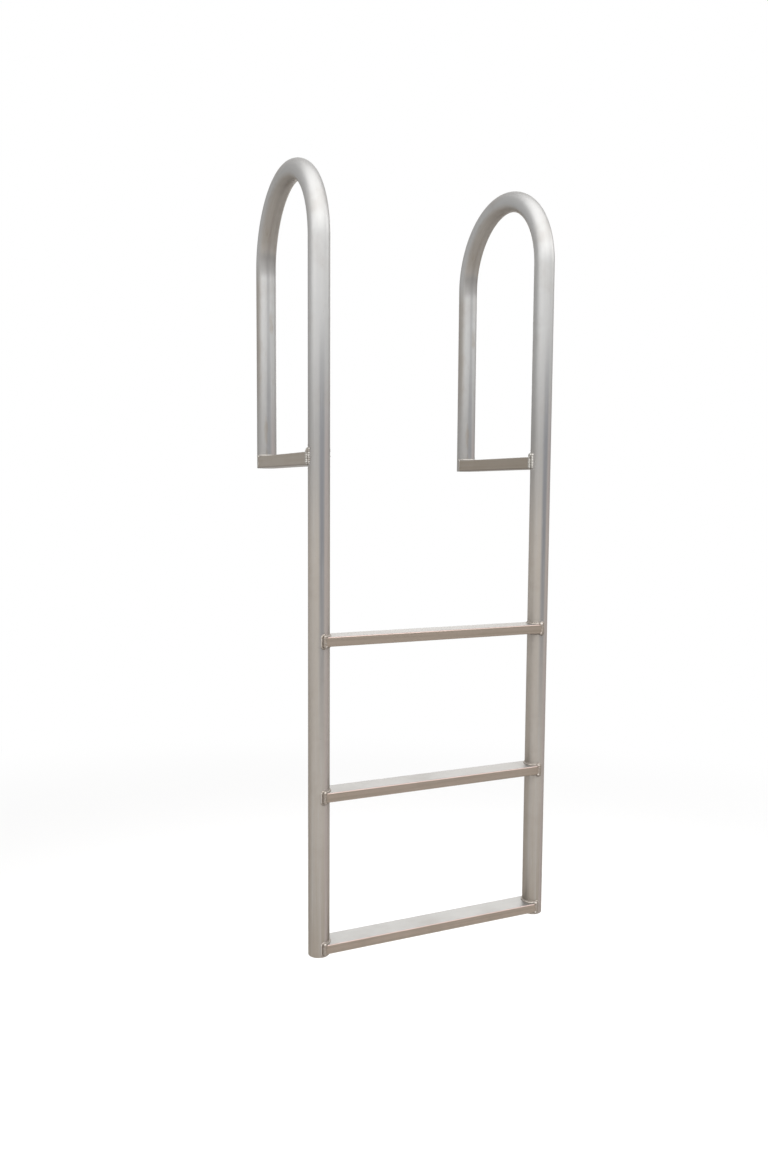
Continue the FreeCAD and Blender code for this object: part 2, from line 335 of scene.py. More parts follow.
def noise(place, scale, detail=2.0, roughness=0.5):
    """Noise in 0 to 1 over a place in metres, or over one that is already squeezed."""
    return place.node("ShaderNodeTexNoise", None, {
        "Vector": place, "Scale": scale, "Detail": detail, "Roughness": roughness})


def streaks(place, scales, detail):
    """Noise that runs along the axis with the smallest scale."""
    return noise(place.vector("MULTIPLY", scales), 1.0, detail)


def stripe(value, middle, widths):
    """1 close to the middle value and 0 away from it; the outer width comes first."""
    return (value - middle).maths("ABSOLUTE").band(*widths)


def drawn_marks(place, line_scales, band_scales):
    """Fine lines, broad bands, dull patches and specks, each in 0 to 1."""
    lines = streaks(place, line_scales, 3.0)
    bands = streaks(place, band_scales, 2.0)
    patches = noise(place, PATCH_SCALE, 4.0, 0.6)
    specks = noise(place, SPECK_SCALE, 1.0).band(0.74, 0.80)
    return lines, bands, patches, specks


def worn_roughness(base, lines, patches):
    """A roughness that follows the lines and rises on the dull patches."""
    return (base + (lines - 0.5) * 0.10 + patches.band(0.4, 0.8) * 0.08).clamp(0.2, 0.8)


print("patches of about %.0f mm, specks of about %.0f mm"
      % (1e3 / PATCH_SCALE, 1e3 / SPECK_SCALE))

# %% [markdown]
# The tube's marks follow the tube round its bend. So its finish doesn't read places in the room
# but "drawn", which the bending tree stores: across and along the tube as it was before it was
# bent. The inside of a bend gets painted shade and is rougher, because the bending shoe pressed on
# it there, and it left a dark mark where it let go. A painted dark reflection runs as a band along
# the side that faces forward, with a fainter line inside the hoop, and below the deck the front is
# a little pink to the right of it. The left sides get painted shade, on the legs and low down, and
# handling has left smears and fine scratches. Angles are in radians from the right-hand side.
# "inside" is how far a point lies off the tube's axis towards the inside of the hoop. A pair says
# where a mark starts and is full.

# %% Where the tube's marks lie
# The dark band and its line are a painted dark reflection along the forward side.
DARK_REFLECTION_ANGLE = 1.66
DARK_REFLECTION_WIDTHS = (0.40, 0.06)
DARK_REFLECTION_LINE_WIDTHS = (0.26, 0.04)
PINK_SIDE_ANGLE = 1.15
PINK_SIDE_WIDTHS = (0.38, 0.08)
# Painted shade on the tubes' left sides, on the legs and low down.
LEG_SHADE_ANGLES = (2.15, 2.85)
LOW_SHADE_ANGLES = (2.45, 2.95)
BEND_END = BEND_START - RAIL_END + math.pi * BEND_RADIUS
LEG_STARTS = (BEND_END - 0.03, BEND_END + 0.05)
SHOE_BEFORE_END = 0.012
SHOE_WIDTHS = (0.035, 0.012)
# The inside of a bend gets painted shade, besides a higher roughness.
DULL_INSIDE = (0.004, 0.017)
LINE_INSIDE = (0.002, 0.012)
BAND_FADES_INSIDE = (-0.005, 0.005)
TUBE_LINES, TUBE_BANDS = (900, 900, 6), (75, 75, 1.6)
SMEARS, SCRATCHES = (60, 60, 14), (1500, 1500, 22)
# Heights of the marks. The one called dull places painted shade low on the tube, and the
# reflection and shade ones place painted light too.
MARK_HEIGHTS = {
    "dull": (0.30, 0.0), "warm reflection": (0.08, -0.20), "foot": (-0.62, -1.0), "pink": (0.2, 0.0),
    "dark reflection's foot": (-0.70, -0.10), "dark reflection's top": (0.32, 0.05),
    "dark reflection line": (0.02, 0.16), "leg shade": (0.05, 0.24), "low shade": (-0.25, -0.65),
    "bend": (BEND_START - 0.03, BEND_START + 0.06)}
print("dark reflection at %.0f degrees round the tube" % math.degrees(DARK_REFLECTION_ANGLE))

# %% [markdown]
# Each mark is where three things meet: how far round the tube, how high above the deck, and how
# far along the tube. Multiplied together they leave the mark only where all of them are near 1.

# %% The tube's finish
# The colour of the painted dark reflection.
DARK_REFLECTION_METAL = (0.198, 0.198, 0.206)
PINK_METAL = (0.345, 0.292, 0.282)
SHOE_MARK = (0.17, 0.165, 0.162)


def tube_finish():
    """Drawn tube: painted shade and a warm painted reflection low down, painted shade inside its
    bend.
    """
    material, tree, shader = new_material("drawn_tube")
    start = Wire(tree)
    drawn = start.node("ShaderNodeAttribute", {"attribute_name": "drawn"}, output=1)
    height, inward, along = axis(object_place(start), "Z"), axis(drawn, "Y"), axis(drawn, "Z")
    angle = inward.maths("ARCTAN2", axis(drawn, "X")).maths("ABSOLUTE")
    at = {mark: height.band(*ends) for mark, ends in MARK_HEIGHTS.items()}
    lines, bands, patches, specks = drawn_marks(drawn, TUBE_LINES, TUBE_BANDS)

    # A painted dark reflection along the forward side, with its fainter line inside the hoop.
    dark_reflection = (stripe(angle, DARK_REFLECTION_ANGLE, DARK_REFLECTION_WIDTHS)
                * at["dark reflection's foot"] * at["dark reflection's top"]
                * (1.0 - inward.band(*BAND_FADES_INSIDE) * 0.4))
    dark_reflection_line = (stripe(angle, DARK_REFLECTION_ANGLE, DARK_REFLECTION_LINE_WIDTHS) * inward.band(*LINE_INSIDE)
                * at["dark reflection line"] * bands.band(0.30, 0.62))
    pink_side = stripe(angle, PINK_SIDE_ANGLE, PINK_SIDE_WIDTHS) * at["pink"]
    inside = inward.band(*DULL_INSIDE)
    shoe = (along - BEND_END + SHOE_BEFORE_END).maths("ABSOLUTE").band(*SHOE_WIDTHS) * inside
    leg = along.band(*LEG_STARTS)
    # Painted shade on the left sides of the legs and low on the tubes.
    leg_shade = angle.band(*LEG_SHADE_ANGLES) * leg * at["leg shade"]
    low_shade = angle.band(*LOW_SHADE_ANGLES) * at["low shade"]
    smear = streaks(drawn, SMEARS, 3.0).band(0.56, 0.72)
    scratches = streaks(drawn, SCRATCHES, 1.0).band(0.70, 0.74)

    colour = paint(
        ALUMINIUM,
        # painted shade low on the tube
        (at["dull"], SHADED_ALUMINIUM),
        # a painted reflection of a brown ground below the deck
        (at["warm reflection"], WARM_REFLECTION),
        (at["foot"] * 0.6, DARK_TARNISH_AND_SHADE),
        (bands.band(0.48, 0.25) * 0.35, BRIGHT_PATCH),
        (patches.band(0.48, 0.75) * 0.22, DARK_TARNISH_AND_SHADE),
        # the painted dark reflection and its line
        (dark_reflection, DARK_REFLECTION_METAL),
        (pink_side * 0.5, PINK_METAL),
        (dark_reflection_line * 0.4, DARK_REFLECTION_METAL),
        # painted shade on the left sides
        (low_shade * 0.35 + leg_shade * 0.45, DARK_TARNISH_AND_SHADE),
        # painted shade inside the bend, and real handling smears there
        (inside * at["bend"] * 0.6 + inside * smear * 0.45, DARK_TARNISH_AND_SHADE),
        ((shoe * 0.6 + specks * 0.4).clamp(0.0, 1.0), SHOE_MARK),
        (lines.band(0.50, 0.80) * 0.30, BRIGHT_PATCH),
        (scratches * 0.30, BRIGHT_PATCH))
    roughness = worn_roughness(0.46, lines, patches) + inside * at["bend"] * 0.08
    finish_with(tree, shader, colour, roughness, lines + patches * 0.5)
    return material


TUBE_FINISH = tube_finish()
print("finish:", TUBE_FINISH.name, "with", len(TUBE_FINISH.node_tree.nodes), "nodes")

# %% [markdown]
# A tread and a bracket are flat-sided tube from other dies. Their warm ground is a painted
# reflection of a brown ground below them, their tops are painted paler, a painted light from
# above, and their rounded long edges get a painted highlight. Those places could be painted on by
# hand, but the way that a surface faces already tells them apart, so the finish looks at that. The
# brackets are painted darker along their lower edges. The treads aren't, so their dark edge would
# start below the whole ladder.

# %% The treads' and brackets' finishes
# Painted reflection: the treads' warm ground, as if it mirrored a brown ground.
TREAD_METAL = (0.288, 0.238, 0.196)
# Painted light: the colour of the treads' tops, paler as lit from above.
TREAD_PALE = (0.357, 0.353, 0.345)
# The painted highlight along the treads' rounded long edges.
TREAD_EDGE = (0.44, 0.34, 0.315)
# Painted reflection: the brackets' warm ground.
BRACKET_METAL = (0.250, 0.218, 0.180)
# The brackets are darker up to this height above their undersides.
BRACKET_DARK_EDGE_TOP = 0.004
DARK_BROWN = (0.13, 0.105, 0.08)
DARK_EDGE_FADE = 0.003
NO_DARK_EDGE = -2.0
TREAD_LINES, TREAD_BANDS = (6, 900, 900), (2.5, 190, 190)
BRACKET_LINES, BRACKET_BANDS = (900, 6, 900), (190, 3, 190)


def flat_finish(name, metal, pale, edge, line_scales, band_scales, dark_below=NO_DARK_EDGE,
                edge_tint=EDGE_TINT):
    """Flat-sided tube: warm painted reflection, painted light on top, painted highlights on its
    edges.
    """
    material, tree, shader = new_material(name)
    start = Wire(tree)
    place = object_place(start)
    lines, bands, patches, specks = drawn_marks(place, line_scales, band_scales)
    facing = start.node("ShaderNodeNewGeometry", output=1)
    up, side = axis(facing, "Z"), axis(facing, "Y").maths("ABSOLUTE")
    # Up-facing tops get painted light.
    top = up.band(0.75, 0.97)
    # A painted highlight on the rounded long edges.
    edge_highlight = up.band(0.25, 0.5) * side.band(0.2, 0.6)
    # Darker within a few millimetres of the bracket's lower edge.
    lower_edge = axis(place, "Z").band(dark_below, dark_below - DARK_EDGE_FADE)
    colour = paint(
        # the warm ground, a painted reflection of a brown ground
        metal,
        (bands.band(0.40, 0.65) * 0.5, DARK_TARNISH_AND_SHADE),
        (lines.band(0.55, 0.85) * 0.2, pale),
        (patches.band(0.5, 0.75) * 0.25, DARK_TARNISH_AND_SHADE),
        # painted light on the top
        (top * (1.0 - patches.band(0.5, 0.8) * 0.12), pale),
        # the painted highlight on the edges
        (edge_highlight * 0.85, edge),
        # dark specks, and the darker lower edge
        ((specks * 0.4 + lower_edge * 0.7).clamp(0.0, 1.0), DARK_BROWN))
    finish_with(tree, shader, colour, worn_roughness(0.44, lines, patches),
                lines + patches * 0.5, edge_tint)
    return material


TREAD_FINISH = flat_finish("drawn_tread", TREAD_METAL, TREAD_PALE, TREAD_EDGE,
                           TREAD_LINES, TREAD_BANDS)
# The brackets' tops get ALUMINIUM as painted light, and their edges as a painted highlight.
BRACKET_FINISH = flat_finish("drawn_bracket", BRACKET_METAL, ALUMINIUM, ALUMINIUM,
                             BRACKET_LINES, BRACKET_BANDS, BRACKET_DARK_EDGE_TOP, WHITE)
print("finishes:", TREAD_FINISH.name, BRACKET_FINISH.name)

# %% [markdown]
# ## The rails
# Each rail is one length of tube: straight up, half round, and down again. It could be a curve
# with a round bevel, but then nothing would tell the finish where a point lay before the tube was
# bent. So a ring is swept along a line in a tree, and each keeps its own place first: the ring's
# gives across the tube, and the line's gives along it.

# %% Sweep a ring and keep the unbent place
def capture(geometry, kind, value):
    """Keeps a value on the geometry's points; gives the geometry and the kept value."""
    node = geometry.tree.nodes.new("GeometryNodeCaptureAttribute")
    node.capture_items.new(kind, "kept")
    geometry.tree.links.new(geometry.socket, node.inputs[0])
    geometry.tree.links.new(value.socket, node.inputs[1])
    return Wire(geometry.tree, node.outputs[0]), Wire(geometry.tree, node.outputs[1])


def store_drawn(line, ring, along):
    """Sweeps the ring along the line, and stores where each point lies on the unbent tube."""
    line, kept_along = capture(line, "FLOAT", along)
    section = ring.node("GeometryNodeInputPosition")
    ring, kept_section = capture(ring, "VECTOR", section)
    skin = line.node("GeometryNodeCurveToMesh", None, {"Curve": line, "Profile Curve": ring})
    lift = skin.node("ShaderNodeCombineXYZ", None, {"X": 0.0, "Y": 0.0, "Z": kept_along})
    unbent = kept_section.vector("ADD", lift)
    stored = skin.node("GeometryNodeStoreNamedAttribute", {"data_type": "FLOAT_VECTOR"},
                       {"Geometry": skin, "Name": "drawn", "Value": unbent})
    return stored.node("GeometryNodeSetShadeSmooth", None, {"Geometry": stored})


print("the tube's skin keeps its unbent place")

# %% [markdown]
# The line's points are counted up the front rail, round the half circle and down the leg. Their
# places could be typed in, but a formula that turns each one's number into its place serves any
# size. The bend then meets the straights without a kink, and its rings lie closer together.

# %% A tree that bends a tube
RAIL_RINGS = {"Front Rings": 40, "Bend Rings": 72, "Leg Rings": 20}
RAIL_SIZES = {
    "Tube Radius": "Float", "Bend Radius": "Float", "Front Length": "Float",
    "Leg Length": "Float", "Start": "Vector", "Front Rings": "Int", "Bend Rings": "Int",
    "Leg Rings": "Int"}
AROUND = 72


def build_rail_tree():
    """A tube's skin that runs up from its end, over a half circle and down to the deck."""
    tree, size = new_geometry_tree("bent_rail", RAIL_SIZES)
    front, bend, leg = (size[name] for name in RAIL_RINGS)
    points = size["Start"].node("GeometryNodeMeshLine", None, {
        "Count": front + bend + leg + 1.0, "Offset": (0, 0, 0.01)})
    curve = points.node("GeometryNodeMeshToCurve", None, {"Mesh": points})
    index = curve.node("GeometryNodeInputIndex")
    up = index.maths("MINIMUM", front) / front * size["Front Length"]
    angle = (index - front).maths("MAXIMUM", 0.0).maths("MINIMUM", bend) / bend * math.pi
    down = (index - front - bend).maths("MAXIMUM", 0.0) / leg * size["Leg Length"]
    across = (1.0 - angle.maths("COSINE")) * size["Bend Radius"]
    height = up + angle.maths("SINE") * size["Bend Radius"] - down
    place = across.node("ShaderNodeCombineXYZ", None, {"X": 0.0, "Y": across, "Z": height})
    line = curve.node("GeometryNodeSetPosition", None,
                      {"Geometry": curve, "Position": place.vector("ADD", size["Start"])})
    along = up + angle * size["Bend Radius"] + down
    ring = size["Tube Radius"].node("GeometryNodeCurvePrimitiveCircle", None,
                                    {"Resolution": AROUND, "Radius": size["Tube Radius"]})
    end_tree(tree, store_drawn(line, ring, along), size["Finish"])
    return tree


rail_tree = build_rail_tree()
print("rail tree:", len(rail_tree.nodes), "nodes")

# %% [markdown]
# The skin has no thickness yet. A second, smaller skin could be joined to it by hand, but
# Solidify gives it the tube's wall, inward, so that the open lower end shows a real rim, and a
# small bevel takes the sharpness off the saw cut.

# %% Make both rails
CUT_BEVEL = 0.0005
CUT_ANGLE = math.radians(60)


def apply_modifiers(piece):
    """Replaces the piece's mesh by what its modifiers make of it."""
    graph = bpy.context.evaluated_depsgraph_get()
    done = bpy.data.meshes.new_from_object(piece.evaluated_get(graph), depsgraph=graph)
    piece.modifiers.clear()
    piece.data = done


def make_rail(side):
    """One bent tube with its wall and its two sawn ends."""
    sizes = {"Tube Radius": TUBE_RADIUS, "Bend Radius": BEND_RADIUS,
             "Front Length": BEND_START - RAIL_END, "Leg Length": BEND_START,
             "Start": Vector((rail_x[side], FRONT_Y, RAIL_END)), **RAIL_RINGS}
    rail = grow(side + "_bent_tube", rail_tree, sizes, TUBE_FINISH)
    wall = rail.modifiers.new("wall", "SOLIDIFY")
    wall.thickness = TUBE_WALL
    wall.offset = -1.0
    cut = rail.modifiers.new("cut", "BEVEL")
    cut.width = CUT_BEVEL
    cut.segments = 2
    cut.limit_method = "ANGLE"
    cut.angle_limit = CUT_ANGLE
    apply_modifiers(rail)
    place_as(rail, "tube", side + "_rail")
    return rail


for side in SIDES:
    rail = make_rail(side)
    print(rail.name, "triangles", sum(len(p.vertices) - 2 for p in rail.data.polygons))

# %% [markdown]
# ## Treads and brackets
# The treads and brackets are flat-sided tube with rounded corners. They could be made anew, but
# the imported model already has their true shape, so they only get their finish.

# %% Dress the treads and brackets
def dress(node, finish):
    """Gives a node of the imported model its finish."""
    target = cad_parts[node]
    target.data.materials.clear()
    target.data.materials.append(finish)


for name in TREADS:
    dress(name + "_tread", TREAD_FINISH)
for side in SIDES:
    dress(side + "_bracket", BRACKET_FINISH)
print("dressed", len(TREADS) + len(SIDES), "nodes")

# %% [markdown]
# ## The welds' finishes
# Aluminium freezes grainy where it was melted: pale on its crests, sooty in its hollows, with a
# bright line at its toe, where it meets the tube. Its tops that face up get a painted highlight
# and its undersides painted shade. The thin bead that ties a tread to its rail stayed clean, and
# the hollow beside it gets painted shade. The left bracket's weld is sootier than the right one's.
# One pattern could serve for all of them, but then every weld would be as clean as the next, so
# its soot and frost are shares to choose.

# %% Find the tubes' walls
def from_rails(place):
    """How far a place lies outside the rails' middle planes, beyond their axes in depth, and
    off a tube's wall."""
    middle = sum(rail_x.values()) / 2
    half = abs(rail_x["right"] - rail_x["left"]) / 2
    across = (axis(place, "X") - middle).maths("ABSOLUTE") - half
    depth = axis(place, "Y").maths("ABSOLUTE") - BEND_RADIUS
    return across, depth, (across * across + depth * depth).maths("SQRT") - TUBE_RADIUS


print("a weld's toe lies at %.1f mm from a rail's axis" % (1e3 * TUBE_RADIUS))

# %% [markdown]
# The finish reads "ripple", which the bead tree stores, 1 on a crest and 0 in a hollow. It also
# reads how far a point lies from the tube that the bead was laid on: that finds the toe line, the
# thin tie bead, the hollow beside it, which gets painted shade, and the soot on the front of the
# left bracket's weld.

# %% The welds' materials
# Soot, which also serves as painted shade on undersides and in the hollow by the tie bead.
WELD_SOOT_AND_SHADE = (0.20, 0.175, 0.150)
# Frost, which also serves as a painted highlight on weld tops that face up.
WELD_FROST_AND_LIGHT = (0.62, 0.61, 0.59)
TIE_METAL = (0.46, 0.43, 0.40)
GRAIN_SCALE = 700.0
GRAIN_DEPTH = 0.0001
SMUT_SCALE = 250.0
TOE_WIDTH = 0.0016
TIE_EDGE = (0.0024, 0.0036)
VALLEY_OUT = -0.0003
VALLEY_WIDTHS = (0.0032, 0.0020)
WASH_DEPTHS = (-0.0052, -0.0030)


def weld_finish(name, metal, frost, soot, tie_share=0.0, wash_share=0.0):
    """Frozen aluminium: pale crests, sooty hollows, a bright toe line and a grainy skin."""
    material, tree, shader = new_material(name)
    place = object_place(Wire(tree))
    ripple = place.node("ShaderNodeAttribute", {"attribute_name": "ripple"}, output=2)
    grain = noise(place, GRAIN_SCALE, 3.0, 0.6)
    smut = noise(place, SMUT_SCALE, 2.0)
    across, depth, gap = from_rails(place)
    wash = depth.band(*WASH_DEPTHS) * wash_share
    toe = gap.band(TOE_WIDTH, 0.3 * TOE_WIDTH)
    valley = stripe(across, VALLEY_OUT, VALLEY_WIDTHS) * tie_share
    tie = across.band(*TIE_EDGE) * tie_share
    up = axis(place.node("ShaderNodeNewGeometry", output=1), "Z")
    lit_top = up.band(0.2, 0.7) * gap.band(0.0, 0.002)
    colour = paint(
        metal,
        # a painted highlight on the tops that face up
        (lit_top * 0.4, WELD_FROST_AND_LIGHT),
        (ripple.band(0.9, 0.15) * soot, WELD_SOOT_AND_SHADE),
        (smut.band(0.54, 0.64) * ripple.band(0.4, 0.9) * frost, WELD_FROST_AND_LIGHT),
        # painted shade in the hollow beside the tie bead
        (valley * 0.4, WELD_SOOT_AND_SHADE),
        (toe * 0.2, WELD_FROST_AND_LIGHT),
        (tie, TIE_METAL),
        # painted shade on the undersides
        (up.band(0.0, -0.5) * 0.7, WELD_SOOT_AND_SHADE),
        (wash * (smut.band(0.60, 0.45) * 0.6 + 0.4), WELD_SOOT_AND_SHADE))
    roughness = (0.36 + grain * 0.2 + smut.band(0.4, 0.7) * 0.12).clamp(0.2, 0.8)
    finish_with(tree, shader, colour, roughness, grain, depth=GRAIN_DEPTH)
    return material


TREAD_WELD = weld_finish("tread_weld", (0.295, 0.250, 0.212), frost=0.35, soot=0.7,
                         tie_share=0.8)
LEG_WELD = weld_finish("leg_weld", (0.285, 0.268, 0.243), frost=0.15, soot=0.4)
SOOTY_WELD = weld_finish("sooty_weld", (0.325, 0.310, 0.284), frost=0.75, soot=0.45,
                         wash_share=0.7)
CLEAN_WELD = weld_finish("clean_weld", (0.350, 0.336, 0.310), frost=0.5, soot=0.15)
print("weld finishes:", ", ".join(
    finish.name for finish in (TREAD_WELD, LEG_WELD, SOOTY_WELD, CLEAN_WELD)))

# %% [markdown]
# ## Weld beads
# A weld bead is laid drop after drop, and each drop freezes into a ripple over the last. Where the
# bead would sink deep into the tube's wall it is pushed back out, as molten metal would be. Hot
# metal also spits, and leaves small round droplets on the tube beside the joint. They could be
# set by hand, but chance with a fixed seed spreads them as unevenly as they fell.

# %% The tube's wall and the spatter on it
FUSED = 0.0020
DROPLET_RADIUS = 0.0010
SMALLEST_DROPLET = 0.35
LARGEST_DROPLET = 1.1


def store_number(geometry, name, value):
    """Keeps a number on every point under a name that a material can read."""
    return geometry.node("GeometryNodeStoreNamedAttribute", {"data_type": "FLOAT"},
                         {"Geometry": geometry, "Name": name, "Value": value})


def keep_out_of_tube(bead, size):
    """Flattens the bead where it would sink deeper than FUSED into the tube's wall."""
    arm = bead.node("GeometryNodeInputPosition").vector("SUBTRACT", size["Tube Centre"])
    level = arm.vector("MULTIPLY", (1.0, 1.0, 0.0))
    reach = size["Tube Radius"] - FUSED
    push = (reach - level.vector("LENGTH", output=1)).maths("MAXIMUM", 0.0)
    outward = level.vector("NORMALIZE")
    shift = outward.node("ShaderNodeVectorMath", {"operation": "SCALE"},
                         {0: outward, "Scale": push})
    return bead.node("GeometryNodeSetPosition", None, {"Geometry": bead, "Offset": shift})


def scatter_droplets(line, size):
    """Small round droplets of spatter, on the tube's wall near the bead."""
    points = line.node("GeometryNodeCurveToPoints", {"mode": "COUNT"},
                       {"Curve": line, "Count": size["Droplets"]})

    def chance(low, high, draw):
        """A number by chance for each point; another draw gives other ones."""
        return points.node("FunctionNodeRandomValue", {"data_type": "FLOAT"},
                           {2: low, 3: high, "Seed": size["Seed"] + draw}, output=1)

    place = points.node("GeometryNodeInputPosition")
    arm = place.vector("SUBTRACT", size["Tube Centre"])
    angle = axis(arm, "Y").maths("ARCTAN2", axis(arm, "X"))
    angle = angle + chance(-1.0, 1.0, 2.0) * size["Droplet Turn"]
    lift = axis(place, "Z") + chance(-1.0, 1.0, 0.0) * size["Droplet Spread"]
    wall = angle.node("ShaderNodeCombineXYZ", None, {
        "X": angle.maths("COSINE") * size["Tube Radius"],
        "Y": angle.maths("SINE") * size["Tube Radius"],
        "Z": lift.maths("MAXIMUM", size["Lowest"])})
    moved = points.node("GeometryNodeSetPosition", None,
                        {"Geometry": points, "Position": wall.vector("ADD", size["Tube Centre"])})
    drop = points.node("GeometryNodeMeshIcoSphere", None,
                       {"Radius": DROPLET_RADIUS, "Subdivisions": 2})
    drop = store_number(drop, "ripple", 1.0)
    return moved.node("GeometryNodeInstanceOnPoints", None, {
        "Points": moved, "Instance": drop,
        "Scale": chance(SMALLEST_DROPLET, LARGEST_DROPLET, 5.0)})


print("a bead melts %.1f mm into a tube's wall" % (1e3 * FUSED))

# %% [markdown]
# A bead could be sculpted, but ten joints want the same hand. So one tree sweeps a ring along any
# joint's line. The ring's size rises and falls along that line like a saw blade, which gives the
# ripples, and a little noise keeps the drops as uneven as they are by hand.

# %% A tree that lays a bead
BEAD_STEP = 0.0005
BEAD_SIDES = 20
THINNEST_BEAD = 0.0002
WANDER_SCALE = 140.0
WANDER_PER_SEED = 1.7
RIPPLE_WANDER = 1.5
BEAD_SIZES = {
    "Ripple Pitch": "Float", "Ripple Depth": "Float", "Unevenness": "Float", "Seed": "Int",
    "Round Ends": "Float", "Tube Centre": "Vector", "Tube Radius": "Float", "Droplets": "Int",
    "Droplet Spread": "Float", "Droplet Turn": "Float", "Lowest": "Float"}


def build_bead_tree():
    """Sweeps a rippled bead along the base's line, with droplets on the tube beside it."""
    tree, size = new_geometry_tree("weld_bead", BEAD_SIZES, has_input=True)
    base = size["Geometry"].node("GeometryNodeMeshToCurve", None, {"Mesh": size["Geometry"]})
    radius = base.node("GeometryNodeInputNamedAttribute", {"data_type": "FLOAT"},
                       {"Name": "bead_radius"})
    wide = base.node("GeometryNodeSetCurveRadius", None, {"Curve": base, "Radius": radius})
    line = wide.node("GeometryNodeResampleCurve", {"mode": "LENGTH"},
                     {"Curve": wide, "Length": BEAD_STEP})
    spot = line.node("GeometryNodeSplineParameter", output=1)
    total = line.node("GeometryNodeSplineLength")
    place = line.node("GeometryNodeInputPosition")
    wander = place.node("ShaderNodeTexNoise", {"noise_dimensions": "4D"}, {
        "Vector": place, "W": size["Seed"] * WANDER_PER_SEED, "Scale": WANDER_SCALE,
        "Detail": 2.0})
    drops = (spot / size["Ripple Pitch"] + wander * RIPPLE_WANDER).maths("FRACT")
    crest = 1.0 - drops * drops
    plain = line.node("GeometryNodeInputRadius")
    bulge = 1.0 - (1.0 - crest) * size["Ripple Depth"] - wander * size["Unevenness"]
    to_end = spot.maths("MINIMUM", total - spot)
    near = (to_end / plain).maths("MINIMUM", 1.0)
    taper = (1.0 - (1.0 - near) * (1.0 - near)).maths("SQRT")
    keep = 1.0 - (1.0 - taper) * size["Round Ends"]
    line, kept_crest = capture(line, "FLOAT", crest)
    ring = line.node("GeometryNodeCurvePrimitiveCircle", None,
                     {"Resolution": BEAD_SIDES, "Radius": 1.0})
    bead = line.node("GeometryNodeCurveToMesh", None, {
        "Curve": line, "Profile Curve": ring, "Fill Caps": True,
        "Scale": (plain * bulge * keep).maths("MAXIMUM", THINNEST_BEAD)})
    bead = keep_out_of_tube(store_number(bead, "ripple", kept_crest), size)
    bead = bead.node("GeometryNodeSetShadeSmooth", None, {"Geometry": bead})
    joined = bead.node("GeometryNodeJoinGeometry", None, {0: scatter_droplets(line, size)})
    tree.links.new(bead.socket, joined.socket.node.inputs[0])
    end_tree(tree, joined, size["Finish"])
    return tree


bead_tree = build_bead_tree()
print("bead tree:", len(bead_tree.nodes), "nodes")

# %% [markdown]
# A joint's line is drawn first, as a chain of points, each with the radius that the bead has
# there. A curve could carry it too, but a plain chain of points and edges can hold the radius as
# an attribute that the tree reads by name.

# %% Helpers for a joint's line
ARC_STEPS = 24


def arc(centre, radius, height, start, end, bead, middle_bead=None):
    """Points on a level arc round a tube, each with the bead's radius there."""
    points = []
    swell = (middle_bead or bead) - bead
    for step in range(ARC_STEPS + 1):
        share = step / ARC_STEPS
        angle = math.radians(start + (end - start) * share)
        points.append((centre[0] + radius * math.cos(angle),
                       centre[1] + radius * math.sin(angle), height,
                       bead + swell * math.sin(math.pi * share)))
    return points


def chain(name, lines, closed):
    """A mesh of points and edges in rows, with the bead's radius kept on each point."""
    mesh = bpy.data.meshes.new(name)
    points, edges = [], []
    for line in lines:
        first, count = len(points), len(line)
        edges += [(first + k, first + (k + 1) % count)
                  for k in range(count if closed else count - 1)]
        points += line
    mesh.from_pydata([p[:3] for p in points], edges, [])
    radius = mesh.attributes.new("bead_radius", "FLOAT", "POINT")
    radius.data.foreach_set("value", [p[3] for p in points])
    return bpy.data.objects.new(name, mesh)


def lay_bead(name, lines, closed, centre, sizes, finish):
    """Grows a joint's bead along its lines, to stand for the weld of that name."""
    base = chain(name + "_line", lines, closed)
    sizes = {**sizes, "Tube Centre": Vector((*centre, 0)), "Tube Radius": TUBE_RADIUS}
    bead = grow(name + "_bead", bead_tree, sizes, finish, base)
    place_as(bead, "weld", name + "_weld")
    return bead


print("arcs have", ARC_STEPS + 1, "points")

# %% [markdown]
# Round a tread's end the line is a closed loop: over the top along the rail, down a corner, back
# under the tread and up the other corner. The main bead fills the joint, and a thin one beside it
# ties the tread to the rail. "ring" is the radius of a loop's arcs, "rise" how far they lie over
# and under the tread, "out" how far its upright runs stand from the rail's middle plane, towards
# the tread, "turn" the radius of its corners, and "beads" the bead's radius on the arcs and on the
# upright runs. The loops could be drawn by eye, but worked out they fit every tread at any size.

# %% The lines round a tread's end
MAIN_LOOP = {"ring": TUBE_RADIUS + 0.0002, "rise": 0.0002, "out": 0.0036, "turn": 0.002,
             "beads": (0.0026, 0.0044)}
TIE_LOOP = {"ring": TUBE_RADIUS, "rise": 0.0032, "out": -0.0018, "turn": 0.005,
            "beads": (0.0008, 0.0031)}
TIE_DEPTH = TUBE_RADIUS - 0.0006
ARC_HALF = 76
CORNER_STEPS = 5


def rounded_corner(x, y, z, inward, down, turn, bead):
    """Points on a quarter circle, from the level line to the upright one."""
    points = []
    for step in range(CORNER_STEPS + 1):
        angle = math.pi / 2 * step / CORNER_STEPS
        points.append((x + inward * turn * (1 - math.sin(angle)), y,
                       z - down * turn * (1 - math.cos(angle)), bead))
    return points


